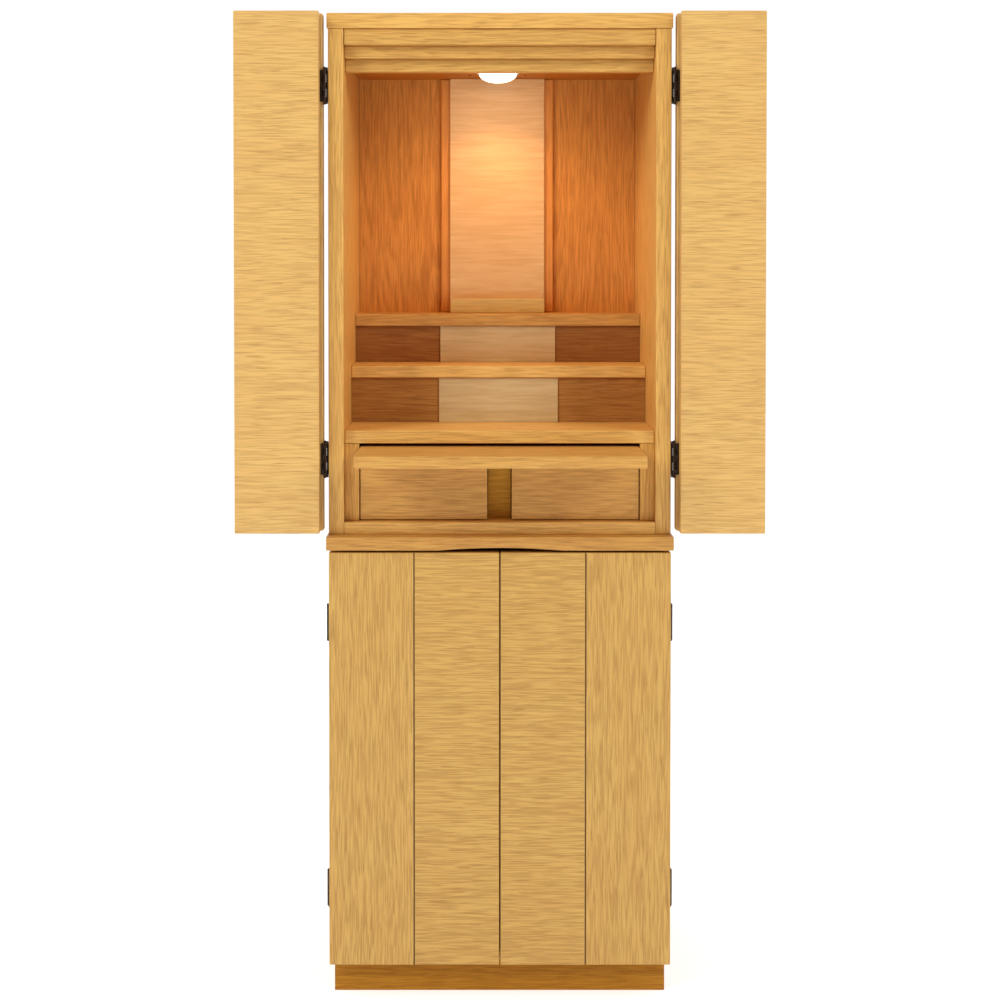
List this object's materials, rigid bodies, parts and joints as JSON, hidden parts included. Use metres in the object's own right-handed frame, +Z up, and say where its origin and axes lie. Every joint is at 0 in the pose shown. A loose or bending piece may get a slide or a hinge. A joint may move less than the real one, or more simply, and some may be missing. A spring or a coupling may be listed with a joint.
{
  "type": "household altar cabinet",
  "caption": "Tall oak household altar cabinet: lamp-lit niche with stepped shelves, folding leaves, sliding offering board and drawers above a cupboard.",
  "frame": {"origin": "the floor, under the middle of the plinth", "axes": "+Z up, the niche and the doors face -Y, +X to the right seen from the front"},
  "size_m": [0.799, 0.445, 1.479],
  "materials": {
    "oak_crosswise": "light oak veneer with its grain across the cabinet, satin lacquer",
    "oak_upright": "light oak veneer with upright grain, satin lacquer",
    "oak_door": "light oak veneer, upright grain on the outer half and crosswise grain on the inner half",
    "oak_plinth": "oak veneer a shade darker, crosswise grain",
    "pale_panel": "pale close-grained veneer, semi-gloss",
    "drawer_inside": "plain pale wood, matt",
    "hinge_bronze": "dark bronze coated steel",
    "lamp_white": "white moulded plastic",
    "lamp_lens": "opal domed lens, lit warm white"
  },
  "bodies": {
    "cabinet": {"top_board": "oak_crosswise", "upper_side_left": "oak_upright", "upper_side_right": "oak_upright", "upper_bottom": "oak_crosswise", "upper_back": "oak_upright", "valance_upper": "oak_crosswise", "valance_middle": "oak_crosswise", "valance_lower": "oak_crosswise", "niche_ceiling": "oak_crosswise", "lamp_base": "lamp_white", "lamp_lens": "lamp_lens", "back_mount_board": "oak_upright", "centre_panel": "pale_panel", "image_stand": "oak_crosswise", "top_shelf": "oak_crosswise", "middle_shelf": "oak_crosswise", "altar_floor": "oak_crosswise", "upper_riser": "oak_crosswise", "upper_riser_panel": "pale_panel", "lower_riser": "oak_crosswise", "lower_riser_panel": "pale_panel", "post_left": "oak_upright", "post_right": "oak_upright", "runner_board": "oak_crosswise", "drawer_divider": "oak_crosswise", "counter_top": "oak_crosswise", "lower_side_left": "oak_upright", "lower_side_right": "oak_upright", "lower_bottom": "oak_crosswise", "lower_back": "oak_upright", "lower_shelf": "oak_crosswise", "plinth": "oak_plinth", "upper_hinge_left_low": "hinge_bronze", "upper_hinge_left_high": "hinge_bronze", "upper_hinge_right_low": "hinge_bronze", "upper_hinge_right_high": "hinge_bronze", "cupboard_hinge_left_low": "hinge_bronze", "cupboard_hinge_left_high": "hinge_bronze", "cupboard_hinge_right_low": "hinge_bronze", "cupboard_hinge_right_high": "hinge_bronze"},
    "left_outer": {"left_outer_leaf": "oak_upright", "left_leaf_flap_low": "hinge_bronze", "left_leaf_flap_high": "hinge_bronze", "left_fold_hinge_outer": "hinge_bronze"},
    "left_inner": {"left_inner_leaf": "oak_crosswise", "left_fold_hinge_inner": "hinge_bronze"},
    "right_outer": {"right_outer_leaf": "oak_upright", "right_leaf_flap_low": "hinge_bronze", "right_leaf_flap_high": "hinge_bronze", "right_fold_hinge_outer": "hinge_bronze"},
    "right_inner": {"right_inner_leaf": "oak_crosswise", "right_fold_hinge_inner": "hinge_bronze"},
    "offering": {"offering_board": "oak_crosswise"},
    "left_drawer": {"left_drawer_front": "oak_crosswise", "left_drawer_box": "drawer_inside"},
    "right_drawer": {"right_drawer_front": "oak_crosswise", "right_drawer_box": "drawer_inside"},
    "cupboard_left": {"cupboard_door_left": "oak_door"},
    "cupboard_right": {"cupboard_door_right": "oak_door"}
  },
  "joints": [
    {"name": "left_leaf_swing", "type": "hinge", "parent": "cabinet", "child": "left_outer", "pos_m": [-0.263, -0.167, 1.0891], "axis": [0, 0, -1], "range_deg": [-180, 0]},
    {"name": "left_leaf_fold", "type": "hinge", "parent": "left_outer", "child": "left_inner", "pos_m": [-0.3975, -0.167, 1.0891], "axis": [0, 0, 1], "range_deg": [-180, 0]},
    {"name": "right_leaf_swing", "type": "hinge", "parent": "cabinet", "child": "right_outer", "pos_m": [0.263, -0.167, 1.0891], "axis": [0, 0, 1], "range_deg": [-180, 0]},
    {"name": "right_leaf_fold", "type": "hinge", "parent": "right_outer", "child": "right_inner", "pos_m": [0.3975, -0.167, 1.0891], "axis": [0, 0, -1], "range_deg": [-180, 0]},
    {"name": "offering_slide", "type": "slide", "parent": "cabinet", "child": "offering", "axis": [0, -1, 0], "range_m": [-0.121, 0]},
    {"name": "left_drawer_slide", "type": "slide", "parent": "cabinet", "child": "left_drawer", "axis": [0, -1, 0], "range_m": [0, 0.2]},
    {"name": "right_drawer_slide", "type": "slide", "parent": "cabinet", "child": "right_drawer", "axis": [0, -1, 0], "range_m": [0, 0.2]},
    {"name": "cupboard_left_swing", "type": "hinge", "parent": "cabinet", "child": "cupboard_left", "pos_m": [-0.259, -0.167, 0.3601], "axis": [0, 0, -1], "range_deg": [0, 180]},
    {"name": "cupboard_right_swing", "type": "hinge", "parent": "cabinet", "child": "cupboard_right", "pos_m": [0.259, -0.167, 0.3601], "axis": [0, 0, 1], "range_deg": [0, 180]}
  ],
  "couplings": [
    {"joint": "left_leaf_fold", "follows": "left_leaf_swing", "ratio": 1},
    {"joint": "right_leaf_swing", "follows": "left_leaf_swing", "ratio": 1},
    {"joint": "right_leaf_fold", "follows": "left_leaf_swing", "ratio": 1},
    {"joint": "offering_slide", "follows": "left_leaf_swing", "m_per_rad": 0.038516}
  ]
}
